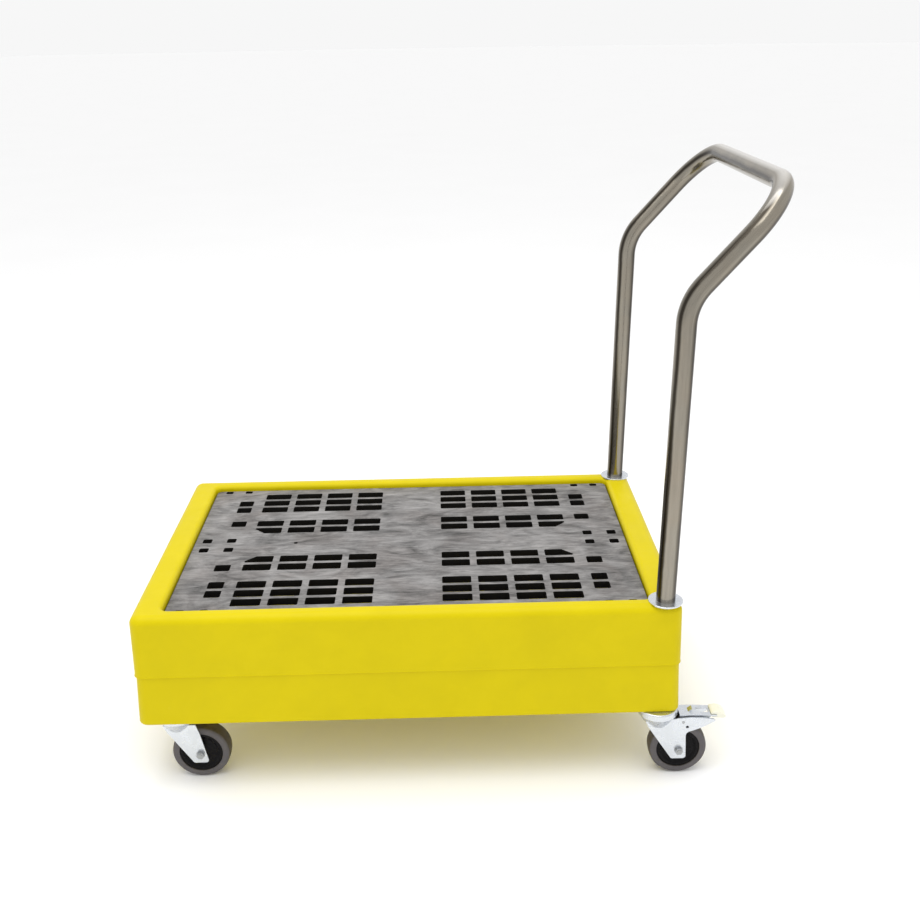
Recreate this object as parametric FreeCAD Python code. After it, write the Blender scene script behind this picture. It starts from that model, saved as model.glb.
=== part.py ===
import FreeCAD, Part

import math
import os

Vector = FreeCAD.Vector
UP = Vector(0, 0, 1)
ACROSS = Vector(0, 1, 0)

# ---------------------------------------------------------------- driving dimensions (mm)
# Modelling frame: +Z up, X along the tray, Y across it. The whole is lifted at the end so that the tyres
# stand on the floor at z = 0.
TRAY_LENGTH = 1000.0
TRAY_WIDTH = 644.0
TRAY_BOTTOM = 140.0
TRAY_TOP = 362.0
TRAY_DRAFT = 4.0            # the foot is this much wider than the rim on each side
PARTING_HEIGHT = 241.0      # the two mould halves meet here
PARTING_STEP = 2.0
PARTING_BEAD = 1.6
BEAD_PROUD = 0.6            # the flash line stands this far off the upper half
SKIN = 4.0                  # moulded wall thickness
FLOOR_SKIN = 6.0
CORNER_RADIUS = 18.0
RIM_OUTER_FILLET = 16.0
RIM_INNER_FILLET = 9.0
FOOT_FILLET = 6.0
OPENING_HALF_X = 446.0      # walls that surround the deck
OPENING_HALF_Y = 287.0
LEDGE_WIDTH = 22.0
LEDGE_TOP = 316.0
SUMP_DRAFT = 8.0
SUMP_CORNER = 34.0
SUMP_FILLET = 16.0
INSERT_RADIUS = 10.0        # threaded insert of a front castor
INSERT_DEPTH = 40.0
INSERT_BOSS_TOP = 204.0     # solid corner around it

DECK_DROP = 12.0            # deck surface below the rim
DECK_PLATE = 14.0
DECK_SKIRT = 5.0
DECK_GAP = 2.0
DECK_CORNER = 12.0
LONG_SLOT = (56.0, 27.0)
SHORT_SLOT = (31.0, 27.0)
SLOT_RADIUS = 3.5
LONG_COLUMNS = (93.0, 162.0, 231.0, 300.0)
SHORT_COLUMN = 367.5
ROW_OUTER = 246.0
ROW_FULL = (210.5, 175.0, 103.0)
ROW_INNER = 67.5
SLOT_BEVEL = 21.0           # corner taken off the four slots nearest the ends of the middle lane
MIDDLE_SQUARES = ((369.5, 21.3), (419.5, 21.3))
EDGE_COLUMNS = (372.0, 416.0)
EDGE_ROW = 276.0
SQUARE_HOLE = (19.0, 19.0)
EDGE_HOLE = (16.0, 13.0)
DRAIN_HOLE = (-235.0, 4.0)
DRAIN_RADIUS = 4.0
PILLAR_X = 200.0
PILLAR_RADIUS = 42.0
PILLAR_FLARE = 8.0

TUBE_RADIUS = 17.5
TUBE_WALL = 2.0
POST_X = 469.5              # post axis where it passes the rim top
POST_Y = 300.0
POST_LEAN = 0.8             # degrees towards the push end
ELBOW_HEIGHT = 913.0        # where the post and arm axes cross
ARM_LEAN = 42.0             # degrees from vertical
BAR_HEIGHT = 1094.0
ELBOW_RADIUS = 100.0
CORNER_BEND = 100.0
WELL_FLOOR = 152.0
WELL_GAP = 0.5
FLANGE_RADIUS = 31.5
FLANGE_THICKNESS = 3.0
PLUG_HEIGHT = 44.0

WHEEL_RADIUS = 55.0
WHEEL_WIDTH = 34.0
AXLE_HEIGHT = 52.5
RIM_RADIUS = 41.0           # wheel centre, under the tyre
TRAIL = 40.0                # axle behind the swivel axis
FRONT_CASTOR = (-442.5, 273.5)
FORK_GAP = 2.0              # tyre side to fork leg
FORK_SHEET = 3.0
CROWN_RADIUS = 37.0
CROWN_TOP = 127.0
CROWN_FLOOR = 118.0
HEAD_RADIUS = 38.0
HEAD_SKIRT_BOTTOM = 128.0
BALL_RADIUS = 4.0
BALL_PITCH = 22.0
BALL_COUNT = 16
KING_RADIUS = 6.0
AXLE_RADIUS = 4.0
SLEEVE_RADIUS = 6.0
RUNNING_FIT = 0.08          # radial clearance of a turning pair
BODY_GAP = 0.3              # clearance between faces of different bodies
PEDAL_PIVOT = (46.0, 114.0)  # behind the swivel axis, above the floor
PEDAL_HALF_WIDTH = 16.5
PEDAL_PLATE = 2.5
PEDAL_SLOT = (73.0, 96.0)
PEDAL_SLOT_HALF = 6.5

# ---------------------------------------------------------------- derived sizes
LEG_INNER = WHEEL_WIDTH / 2 + FORK_GAP
LEG_OUTER = LEG_INNER + FORK_SHEET
DECK_TOP = TRAY_TOP - DECK_DROP
DECK_HALF_X = OPENING_HALF_X - DECK_GAP
DECK_HALF_Y = OPENING_HALF_Y - DECK_GAP
SUMP_HALF_X = OPENING_HALF_X - LEDGE_WIDTH
SUMP_HALF_Y = OPENING_HALF_Y - LEDGE_WIDTH
SUMP_FLOOR = TRAY_BOTTOM + FLOOR_SKIN
LEAN = math.tan(math.radians(POST_LEAN))
ARM = math.tan(math.radians(ARM_LEAN))
ELBOW_X = POST_X + (ELBOW_HEIGHT - TRAY_TOP) * LEAN
BAR_X = ELBOW_X + (BAR_HEIGHT - ELBOW_HEIGHT) * ARM
REAR_CASTOR = (POST_X - (TRAY_TOP - TRAY_BOTTOM) * LEAN, POST_Y)
# The origin is the middle of the whole object's footprint box, so everything moves by this much.
FOOT_REACH = TRAY_LENGTH / 2 + TRAY_DRAFT - 0.18   # the foot's fillet takes its widest line away
FRAME_SHIFT = -((BAR_X + TUBE_RADIUS) - FOOT_REACH) / 2
FLOOR_LIFT = WHEEL_RADIUS - AXLE_HEIGHT


# ---------------------------------------------------------------- shape helpers
def block(x0, x1, y0, y1, z0, z1):
    """A box from its two corners."""
    return Part.makeBox(x1 - x0, y1 - y0, z1 - z0, Vector(x0, y0, z0))


def rod(radius, start, end):
    """A cylinder between two points."""
    return Part.makeCylinder(radius, (end - start).Length, start, end - start)


def pipe(outer, inner, start, end):
    """A hollow cylinder between two points."""
    return rod(outer, start, end).cut(rod(inner, start, end))


def rounded_outline(half_x, half_y, radius, z, centre_x=0.0, centre_y=0.0):
    """A closed rectangle with round corners in a level plane."""
    inner_x, inner_y = half_x - radius, half_y - radius
    edges = []
    corner_signs = ((1, 1), (-1, 1), (-1, -1), (1, -1))
    points = []
    for turn, (sx, sy) in enumerate(corner_signs):
        middle = Vector(centre_x + sx * inner_x, centre_y + sy * inner_y, z)
        arc = [middle + Vector(math.cos(a), math.sin(a), 0) * radius
               for a in (math.pi / 2 * turn, math.pi / 2 * (turn + 0.5), math.pi / 2 * (turn + 1))]
        edges.append(Part.Arc(*arc).toShape())
        points.append((arc[0], arc[2]))
    for turn in range(4):
        edges.append(Part.makeLine(points[turn][1], points[(turn + 1) % 4][0]))
    return Part.Wire(Part.__sortEdges__(edges))


def tapered(bottom, top):
    """A solid between two level outlines."""
    return Part.makeLoft([bottom, top], True, True)


def prism(outline, height):
    """A level outline raised by a height."""
    return Part.Face(outline).extrude(UP * height)


def side_plate(points, y0, y1):
    """A flat plate across Y from a closed outline of (x, z) points."""
    wire = Part.makePolygon([Vector(x, y0, z) for x, z in points + points[:1]])
    return Part.Face(wire).extrude(Vector(0, y1 - y0, 0))


def turned(points, centre, axis):
    """A solid of revolution from (radius, height along the axis) points."""
    wire = Part.makePolygon([Vector(r, 0, h) for r, h in points + points[:1]])
    solid = Part.Face(wire).revolve(Vector(0, 0, 0), UP, 360)
    solid.Placement = FreeCAD.Placement(centre, FreeCAD.Rotation(UP, axis))
    return solid


def level_edges(shape, z, half_x, half_y):
    """Edges that lie in one level plane, inside a plan rectangle."""
    found = []
    for edge in shape.Edges:
        box = edge.BoundBox
        level = abs(box.ZMin - z) < 0.01 and abs(box.ZMax - z) < 0.01
        if level and box.XMax < half_x and box.XMin > -half_x and box.YMax < half_y and box.YMin > -half_y:
            found.append(edge)
    return found


def hexagon(across_flats, centre, direction, height):
    """A hexagonal prism such as a bolt head."""
    corner = across_flats / math.sqrt(3)
    points = [Vector(corner * math.cos(a), corner * math.sin(a), 0)
              for a in (math.pi / 3 * k for k in range(7))]
    solid = Part.Face(Part.makePolygon(points)).extrude(UP * height)
    solid.Placement = FreeCAD.Placement(centre, FreeCAD.Rotation(UP, direction))
    return solid


# ---------------------------------------------------------------- tray
def make_tray():
    """Double-walled moulded tray with a sump, a deck ledge and two wells for the handle."""
    half_x, half_y = TRAY_LENGTH / 2, TRAY_WIDTH / 2
    seam = 0.55 * TRAY_DRAFT
    lower_seam = seam - PARTING_STEP
    foot = rounded_outline(half_x + TRAY_DRAFT, half_y + TRAY_DRAFT, CORNER_RADIUS, TRAY_BOTTOM)
    waist = rounded_outline(half_x + lower_seam, half_y + lower_seam, CORNER_RADIUS, PARTING_HEIGHT)
    lower = tapered(foot, waist)
    lower = lower.makeFillet(FOOT_FILLET, level_edges(lower, TRAY_BOTTOM, 1e4, 1e4))
    shoulder = rounded_outline(half_x + seam, half_y + seam, CORNER_RADIUS, PARTING_HEIGHT)
    crest = rounded_outline(half_x, half_y, CORNER_RADIUS, TRAY_TOP)
    upper = tapered(shoulder, crest)
    upper = upper.makeFillet(RIM_OUTER_FILLET, level_edges(upper, TRAY_TOP, 1e4, 1e4))
    bead_outline = rounded_outline(half_x + seam + BEAD_PROUD, half_y + seam + BEAD_PROUD, CORNER_RADIUS,
                                   PARTING_HEIGHT - PARTING_BEAD / 2)
    tray = lower.fuse([upper, prism(bead_outline, PARTING_BEAD)])

    mouth = prism(rounded_outline(OPENING_HALF_X, OPENING_HALF_Y, DECK_CORNER + DECK_GAP, LEDGE_TOP),
                  TRAY_TOP - LEDGE_TOP)
    sump = tapered(rounded_outline(SUMP_HALF_X - SUMP_DRAFT, SUMP_HALF_Y - SUMP_DRAFT,
                                   SUMP_CORNER - SUMP_DRAFT, SUMP_FLOOR),
                   rounded_outline(SUMP_HALF_X, SUMP_HALF_Y, SUMP_CORNER, LEDGE_TOP))
    sump = sump.makeFillet(SUMP_FILLET, level_edges(sump, SUMP_FLOOR, 1e4, 1e4))
    tray = tray.cut(mouth).cut(sump)
    tray = tray.makeFillet(RIM_INNER_FILLET,
                           level_edges(tray, TRAY_TOP, OPENING_HALF_X + 1, OPENING_HALF_Y + 1))

    hollow_corner = CORNER_RADIUS - SKIN
    cavity = tapered(rounded_outline(half_x - SKIN + 2, half_y - SKIN + 2, hollow_corner,
                                     TRAY_BOTTOM + FLOOR_SKIN),
                     rounded_outline(half_x - SKIN, half_y - SKIN, hollow_corner, TRAY_TOP - SKIN - 2))
    cavity = cavity.cut(prism(rounded_outline(OPENING_HALF_X + SKIN, OPENING_HALF_Y + SKIN,
                                              DECK_CORNER + DECK_GAP + SKIN, LEDGE_TOP - SKIN), TRAY_TOP))
    cavity = cavity.cut(prism(rounded_outline(SUMP_HALF_X + SKIN, SUMP_HALF_Y + SKIN, SUMP_CORNER + SKIN,
                                              TRAY_BOTTOM), TRAY_TOP))
    for sy in (-1, 1):
        y0, y1 = sorted((sy * (SUMP_HALF_Y - SKIN), sy * (half_y + 10)))
        cavity = cavity.cut(block(SUMP_HALF_X - SKIN, half_x + 10, y0, y1, TRAY_BOTTOM, TRAY_TOP))
        cavity = cavity.cut(block(-half_x - 10, SKIN - SUMP_HALF_X, y0, y1, TRAY_BOTTOM, INSERT_BOSS_TOP))
    tray = tray.cut(cavity)

    for side in (-1, 1):
        tray = tray.cut(rod(TUBE_RADIUS + WELL_GAP, post_point(side, WELL_FLOOR),
                            post_point(side, TRAY_TOP + 5)))
        tray = tray.cut(rod(KING_RADIUS + 0.25, Vector(REAR_CASTOR[0], side * REAR_CASTOR[1], TRAY_BOTTOM - 1),
                            Vector(REAR_CASTOR[0], side * REAR_CASTOR[1], WELL_FLOOR + 1)))
        tray = tray.cut(insert_shape(side)).cut(front_bolt_room(side))
    return tray


def post_point(side, z):
    """A point of the leaning post axis at height z."""
    return Vector(POST_X + (z - TRAY_TOP) * LEAN, side * POST_Y, z)


# ---------------------------------------------------------------- deck
def make_deck():
    """Lift-out grid: a slotted plate with a skirt that stands on the ledge."""
    under = DECK_TOP - DECK_PLATE
    plate = prism(rounded_outline(DECK_HALF_X, DECK_HALF_Y, DECK_CORNER, under), DECK_PLATE)
    top_edges = level_edges(plate, DECK_TOP, 1e4, 1e4)
    plate = plate.makeFillet(2.0, top_edges)
    skirt = prism(rounded_outline(DECK_HALF_X, DECK_HALF_Y, DECK_CORNER, LEDGE_TOP), under - LEDGE_TOP)
    skirt = skirt.cut(prism(rounded_outline(DECK_HALF_X - DECK_SKIRT, DECK_HALF_Y - DECK_SKIRT, DECK_CORNER - 4,
                                            LEDGE_TOP), under - LEDGE_TOP))
    deck = plate.fuse(skirt)
    cutters = []
    for sx in (-1, 1):
        for sy in (-1, 1):
            for x in LONG_COLUMNS:
                cutters.append(slot(sx * x, sy * ROW_OUTER, LONG_SLOT))
                inner = slot(sx * x, sy * ROW_INNER, LONG_SLOT)
                cutters.append(inner.cut(lane_bevel(sx, sy)) if x == LONG_COLUMNS[-1] else inner)
                for y in ROW_FULL:
                    cutters.append(slot(sx * x, sy * y, LONG_SLOT))
            for y in ROW_FULL:
                cutters.append(slot(sx * SHORT_COLUMN, sy * y, SHORT_SLOT))
            for x, y in MIDDLE_SQUARES:
                cutters.append(slot(sx * x, sy * y, SQUARE_HOLE))
            for x in EDGE_COLUMNS:
                cutters.append(slot(sx * x, sy * EDGE_ROW, EDGE_HOLE))
    cutters.append(rod(DRAIN_RADIUS, Vector(*DRAIN_HOLE, under - 1), Vector(*DRAIN_HOLE, DECK_TOP + 1)))
    deck = deck.cut(Part.makeCompound(cutters))
    return deck


def slot(x, y, size):
    """One round-cornered hole through the plate."""
    outline = rounded_outline(size[0] / 2, size[1] / 2, SLOT_RADIUS, LEDGE_TOP - 1, x, y)
    return prism(outline, DECK_TOP - LEDGE_TOP + 2)


def lane_bevel(sx, sy):
    """Corner of web that is left standing in one of the four slots at the ends of the middle lane."""
    x = sx * (LONG_COLUMNS[-1] + LONG_SLOT[0] / 2)
    y = sy * (ROW_INNER - LONG_SLOT[1] / 2)
    corner = [Vector(x, y, 0), Vector(x - sx * SLOT_BEVEL, y, 0), Vector(x, y + sy * SLOT_BEVEL, 0)]
    spread = Vector(sx, -sy, 0)
    points = [corner[0] + spread, corner[1] + Vector(0, -sy, 0), corner[1], corner[2], corner[2] + Vector(sx, 0, 0)]
    face = Part.Face(Part.makePolygon(points + points[:1]))
    face.translate(Vector(0, 0, LEDGE_TOP - 2))
    return face.extrude(UP * (DECK_TOP - LEDGE_TOP + 4))


def make_deck_pillars():
    """Two hollow props that stand on the sump floor under the middle of the deck."""
    top = DECK_TOP - DECK_PLATE
    pillars = []
    for side in (-1, 1):
        foot = Vector(side * PILLAR_X, 0, SUMP_FLOOR)
        base = PILLAR_RADIUS + PILLAR_FLARE
        cone = Part.makeCone(base, PILLAR_RADIUS, top - SUMP_FLOOR, foot, UP)
        core = Part.makeCone(base - SKIN, PILLAR_RADIUS - SKIN, top - SUMP_FLOOR - SKIN, foot, UP)
        pillars.append(cone.cut(core))
    return Part.makeCompound(pillars)


# ---------------------------------------------------------------- handle
def handle_path():
    """Axis of the bent tube: two posts, two leaning arms and the push bar, with round bends."""
    corners = [post_point(-1, WELL_FLOOR), Vector(ELBOW_X, -POST_Y, ELBOW_HEIGHT),
               Vector(BAR_X, -POST_Y, BAR_HEIGHT), Vector(BAR_X, POST_Y, BAR_HEIGHT),
               Vector(ELBOW_X, POST_Y, ELBOW_HEIGHT), post_point(1, WELL_FLOOR)]
    radii = [ELBOW_RADIUS, CORNER_BEND, CORNER_BEND, ELBOW_RADIUS]
    edges = []
    start = corners[0]
    for before, corner, after, radius in zip(corners, corners[1:], corners[2:], radii):
        incoming = (corner - before).normalize()
        outgoing = (after - corner).normalize()
        half_turn = math.acos(incoming.dot(outgoing)) / 2
        reach = radius * math.tan(half_turn)
        middle = corner + (outgoing - incoming).normalize() * (radius / math.cos(half_turn) - radius)
        arc_start, arc_end = corner - incoming * reach, corner + outgoing * reach
        edges.append(Part.makeLine(start, arc_start))
        edges.append(Part.Arc(arc_start, middle, arc_end).toShape())
        start = arc_end
    edges.append(Part.makeLine(start, corners[-1]))
    return Part.Wire(edges)


def make_handle():
    """Bent round tube, open inside."""
    path = handle_path()
    start = path.Edges[0].Vertexes[0].Point
    direction = path.Edges[0].tangentAt(path.Edges[0].FirstParameter)
    outer = path.makePipeShell([Part.Wire(Part.makeCircle(TUBE_RADIUS, start, direction))], True, False)
    inner = path.makePipeShell([Part.Wire(Part.makeCircle(TUBE_RADIUS - TUBE_WALL, start, direction))],
                               True, False)
    return outer.cut(inner)


def make_flange(side):
    """Flat round washer that covers the mouth of the well."""
    centre = Vector(POST_X, side * POST_Y, TRAY_TOP)
    disc = Part.makeCylinder(FLANGE_RADIUS, FLANGE_THICKNESS, centre, UP)
    disc = disc.makeFillet(0.8, level_edges(disc, TRAY_TOP + FLANGE_THICKNESS, 1e4, 1e4))
    return disc.cut(rod(TUBE_RADIUS + 0.2, post_point(side, TRAY_TOP - 2), post_point(side, TRAY_TOP + 6)))


def make_tube_plug(side):
    """Threaded steel plug welded into the foot of a post."""
    plug = rod(TUBE_RADIUS - TUBE_WALL, post_point(side, WELL_FLOOR), post_point(side, WELL_FLOOR + PLUG_HEIGHT))
    return plug.cut(rod(KING_RADIUS, Vector(REAR_CASTOR[0], side * POST_Y, TRAY_BOTTOM),
                        Vector(REAR_CASTOR[0], side * POST_Y, WELL_FLOOR + PLUG_HEIGHT + 5)))


def insert_shape(side):
    """Outside of the moulded-in threaded insert of a front castor."""
    x, y = FRONT_CASTOR
    return Part.makeCylinder(INSERT_RADIUS, INSERT_DEPTH, Vector(x, side * y, TRAY_BOTTOM), UP)


def front_bolt_room(side):
    """Room above an insert for the tip of the king bolt."""
    x, y = FRONT_CASTOR
    return Part.makeCylinder(KING_RADIUS + 0.5, 12.0, Vector(x, side * y, TRAY_BOTTOM + INSERT_DEPTH), UP)


def make_insert(side):
    """Threaded insert of a front castor."""
    x, y = FRONT_CASTOR
    return insert_shape(side).cut(Part.makeCylinder(KING_RADIUS, INSERT_DEPTH,
                                                    Vector(x, side * y, TRAY_BOTTOM), UP))


# ---------------------------------------------------------------- castors
# A castor is modelled at the origin with its swivel axis on Z and the axle behind it on +X.
def axle_point(y):
    """A point of the wheel axis."""
    return Vector(TRAIL, y, AXLE_HEIGHT)


def make_head():
    """Pressed top plate with a rolled skirt and the upper ball race."""
    race_bottom = CROWN_FLOOR + BODY_GAP + 2 * BALL_RADIUS
    outline = [(KING_RADIUS, TRAY_BOTTOM), (HEAD_RADIUS - 2.0, TRAY_BOTTOM), (HEAD_RADIUS, TRAY_BOTTOM - 2.0),
               (HEAD_RADIUS, HEAD_SKIRT_BOTTOM + 1.0), (HEAD_RADIUS - 1.0, HEAD_SKIRT_BOTTOM),
               (HEAD_RADIUS - 3.0, HEAD_SKIRT_BOTTOM), (HEAD_RADIUS - 3.0, TRAY_BOTTOM - 3.0),
               (BALL_PITCH + 5.5, TRAY_BOTTOM - 3.0), (BALL_PITCH + 5.5, race_bottom),
               (KING_RADIUS, race_bottom)]
    head = turned(outline, Vector(0, 0, 0), UP)
    groove = Part.makeTorus(BALL_PITCH, BALL_RADIUS, Vector(0, 0, race_bottom - BALL_RADIUS + 1.0), UP)
    return head.cut(groove)


def make_balls():
    """Ring of bearing balls under the head."""
    height = CROWN_FLOOR + BODY_GAP + BALL_RADIUS
    balls = []
    for step in range(BALL_COUNT):
        angle = 2 * math.pi * step / BALL_COUNT
        centre = Vector(BALL_PITCH * math.cos(angle), BALL_PITCH * math.sin(angle), height)
        balls.append(Part.makeSphere(BALL_RADIUS, centre))
    return Part.makeCompound(balls)


def make_king_bolt(top):
    """Bolt that carries the fork and holds the castor to the tray."""
    under_crown = CROWN_FLOOR - 5.0 - BODY_GAP
    head = hexagon(19.0, Vector(0, 0, under_crown - 7.5), UP, 7.5)
    return head.fuse(Part.makeCylinder(KING_RADIUS, top - under_crown + 1, Vector(0, 0, under_crown - 1), UP))


def fork_leg_outline(braked):
    """Side view of one fork leg as (x, z) points."""
    front = [(-25.0, CROWN_FLOOR), (-19.0, 104.0), (24.0, 37.5), (25.0, 35.7), (27.0, 34.1), (29.5, 33.5),
             (49.0, 33.5), (51.8, 34.3), (53.6, 36.3), (54.2, 39.0)]
    if not braked:
        return front + [(42.0, 100.0), (36.0, CROWN_FLOOR)]
    horn = [(52.0, 84.0), (52.6, 88.0), (54.6, 91.0), (58.0, 93.2), (66.0, 95.6), (82.0, 102.0),
            (104.0, 114.0), (107.0, 117.0), (104.0, 119.4), (84.0, 122.4), (60.0, 123.6), (36.0, 122.0)]
    return front + horn


def make_fork(braked):
    """Pressed sheet fork: a round crown that holds the lower race, and two legs."""
    crown = Part.makeCone(23.0, CROWN_RADIUS, CROWN_TOP - 104.0, Vector(0, 0, 104.0), UP)
    fork = crown
    for side in (-1, 1):
        y0, y1 = sorted((side * LEG_INNER, side * LEG_OUTER))
        fork = fork.fuse(side_plate(fork_leg_outline(braked), y0, y1))
    fork = fork.cut(block(-60, 60, -LEG_INNER, LEG_INNER, 100.0, CROWN_FLOOR - 5.0))
    fork = fork.cut(Part.makeCone(28.0, CROWN_RADIUS - 3.0, CROWN_TOP - CROWN_FLOOR,
                                  Vector(0, 0, CROWN_FLOOR), UP))
    fork = fork.cut(Part.makeCylinder(KING_RADIUS + RUNNING_FIT, 60, Vector(0, 0, 90), UP))
    fork = fork.cut(rod(AXLE_RADIUS, axle_point(-40), axle_point(40)))
    if braked:
        x, z = PEDAL_PIVOT
        fork = fork.cut(rod(3.0, Vector(x, -40, z), Vector(x, 40, z)))
        fork = fork.cut(rod(2.8, Vector(54, -40, 103.5), Vector(54, 40, 103.5)))
    return fork.removeSplitter()


def make_axle():
    """Axle bolt with a hexagon head on one side."""
    head = hexagon(13.0, axle_point(LEG_OUTER), ACROSS, 5.3)
    return head.fuse(rod(AXLE_RADIUS, axle_point(-LEG_OUTER - 8.0), axle_point(LEG_OUTER + 1)))


def make_axle_nut():
    """Flanged nut on the threaded end of the axle bolt."""
    washer = rod(8.0, axle_point(-LEG_OUTER), axle_point(-LEG_OUTER - 1.4))
    nut = hexagon(13.0, axle_point(-LEG_OUTER - 1.2), ACROSS * -1, 5.6)
    return washer.fuse(nut).cut(rod(AXLE_RADIUS, axle_point(-40), axle_point(0)))


def make_sleeve():
    """Steel bearing tube clamped between the legs, on which the wheel turns."""
    return pipe(SLEEVE_RADIUS, AXLE_RADIUS, axle_point(-LEG_INNER), axle_point(LEG_INNER))


def make_wheel():
    """Moulded wheel centre: hub, dished web and the rim under the tyre."""
    half = WHEEL_WIDTH / 2
    bore = SLEEVE_RADIUS + RUNNING_FIT
    outline = [(bore, -half - 1.5), (11.0, -half - 1.5), (12.0, -half + 1.0), (17.0, -half + 4.5),
               (31.0, -half + 4.5), (35.0, -half + 1.0), (RIM_RADIUS, -half + 0.5),
               (RIM_RADIUS, half - 0.5), (35.0, half - 1.0), (31.0, half - 4.5),
               (17.0, half - 4.5), (12.0, half - 1.0), (11.0, half + 1.5), (bore, half + 1.5)]
    return turned(outline, axle_point(0), ACROSS)


def make_tyre():
    """Rubber tyre with a gently crowned tread."""
    half = WHEEL_WIDTH / 2
    shoulder = 5.0
    crown = [(WHEEL_RADIUS - 0.045 * (t / 2.0) ** 2, t) for t in range(-10, 11, 2)]
    side = WHEEL_RADIUS - shoulder
    lower = [(RIM_RADIUS, -half), (side, -half), (side + 2.6, -half + 1.4), (side + 4.1, -half + 3.8)]
    upper = [(r, -h) for r, h in reversed(lower)]
    return turned(lower + crown + upper, axle_point(0), ACROSS)


def make_pedal():
    """Pressed brake pedal: a slotted plate with two cheeks on the pivot."""
    plate_top = [(39.5, 127.2), (60.0, 127.0), (80.0, 126.2), (110.0, 124.4)]
    plate_under = [(x, z - PEDAL_PLATE) for x, z in reversed(plate_top)]
    pedal = side_plate(plate_top + plate_under, -PEDAL_HALF_WIDTH, PEDAL_HALF_WIDTH)
    x, z = PEDAL_PIVOT
    cheek = [(39.5, 125.5), (39.5, z - 2), (x - 3, z - 4.5), (x + 3, z - 4.5), (62.0, 112.0), (96.0, 119.0),
             (100.0, 124.0)]
    for side in (-1, 1):
        y0, y1 = sorted((side * (PEDAL_HALF_WIDTH - 2.0), side * PEDAL_HALF_WIDTH))
        pedal = pedal.fuse(side_plate(cheek, y0, y1))
    pedal = pedal.cut(rod(3.0 + RUNNING_FIT, Vector(x, -40, z), Vector(x, 40, z)))
    pedal = pedal.cut(block(*PEDAL_SLOT, -PEDAL_SLOT_HALF, PEDAL_SLOT_HALF, 115, 140))
    tongue = [(56.0, 126.0), (58.0, 126.0), (66.0, 131.2), (65.0, 132.6), (62.5, 131.4)]
    pedal = pedal.fuse(side_plate(tongue, -PEDAL_SLOT_HALF, PEDAL_SLOT_HALF))
    return pedal.removeSplitter()


def make_pedal_tip():
    """Moulded foot pad on the end of the pedal."""
    outline = [(99.0, 127.4), (103.0, 129.8), (110.0, 130.6), (117.0, 129.6), (123.0, 126.2), (127.0, 121.4),
               (127.6, 118.4), (125.0, 116.6), (115.0, 116.8), (105.0, 118.2), (101.0, 119.6)]
    tip = side_plate(outline, -PEDAL_HALF_WIDTH + 2.4, PEDAL_HALF_WIDTH - 2.4)
    slit = side_plate([(90.0, 125.7), (110.0, 124.4), (110.0, 121.9), (90.0, 123.1)],
                      -PEDAL_HALF_WIDTH, PEDAL_HALF_WIDTH)
    return tip.cut(slit)


def make_brake_shoe():
    """Block under the pedal that presses on the tyre."""
    body = side_plate([(60.0, 96.0), (70.0, 96.0), (70.0, 124.1), (60.0, 124.5)], -11.0, 11.0)
    clearance = WHEEL_RADIUS + 4.8
    return body.cut(rod(clearance, axle_point(-20), axle_point(20)))


def make_pedal_pin():
    """Pin through both legs on which the pedal turns."""
    x, z = PEDAL_PIVOT
    return rod(3.0, Vector(x, -LEG_OUTER, z), Vector(x, LEG_OUTER, z))


# ---------------------------------------------------------------- assembly
def castor_parts(braked):
    """Every piece of one castor by its plain name."""
    bolt_top = WELL_FLOOR + PLUG_HEIGHT if braked else TRAY_BOTTOM + INSERT_DEPTH + 4.0
    parts = {
        "head": make_head(),
        "balls": make_balls(),
        "king_bolt": make_king_bolt(bolt_top),
        "fork": make_fork(braked),
        "axle_bolt": make_axle(),
        "axle_nut": make_axle_nut(),
        "bearing_sleeve": make_sleeve(),
        "wheel_centre": make_wheel(),
        "tyre": make_tyre(),
    }
    if braked:
        parts["brake_pedal"] = make_pedal()
        parts["pedal_tip"] = make_pedal_tip()
        parts["brake_shoe"] = make_brake_shoe()
        parts["pedal_pin"] = make_pedal_pin()
    return parts


def assemble():
    """All nodes in the modelling frame."""
    nodes = {
        "tray": make_tray(),
        "deck_grid": make_deck(),
        "deck_pillars": make_deck_pillars(),
        "push_handle": make_handle(),
    }
    for side, hand in ((-1, "left"), (1, "right")):
        nodes["handle_flange_" + hand] = make_flange(side)
        nodes["tube_plug_" + hand] = make_tube_plug(side)
        nodes["castor_insert_" + hand] = make_insert(side)
    for end, spot, braked in (("front", FRONT_CASTOR, False), ("rear", REAR_CASTOR, True)):
        parts = castor_parts(braked)
        for side, hand in ((-1, "left"), (1, "right")):
            for name, shape in parts.items():
                moved = shape.copy()
                moved.translate(Vector(spot[0], side * spot[1], 0))
                nodes["_".join((end, hand, name))] = moved
    return nodes


def main():
    os.makedirs("parts", exist_ok=True)
    for name, shape in assemble().items():
        shape.translate(Vector(FRAME_SHIFT, 0, FLOOR_LIFT))
        shape.exportStep(os.path.join("parts", name + ".step"))
        print(name, "solids", len(shape.Solids), "valid", shape.isValid(), "litres", round(shape.Volume / 1e6, 4))


main()
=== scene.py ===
"""Drum dolly: moulded spill tray on four castors with a lift-out deck and a bent tube handle.

Every size is in metres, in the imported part's own frame: +X is the push end, +Z is up.
"""

import math

import bmesh
import bpy
import numpy as np
from mathutils import Matrix, Vector


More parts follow.
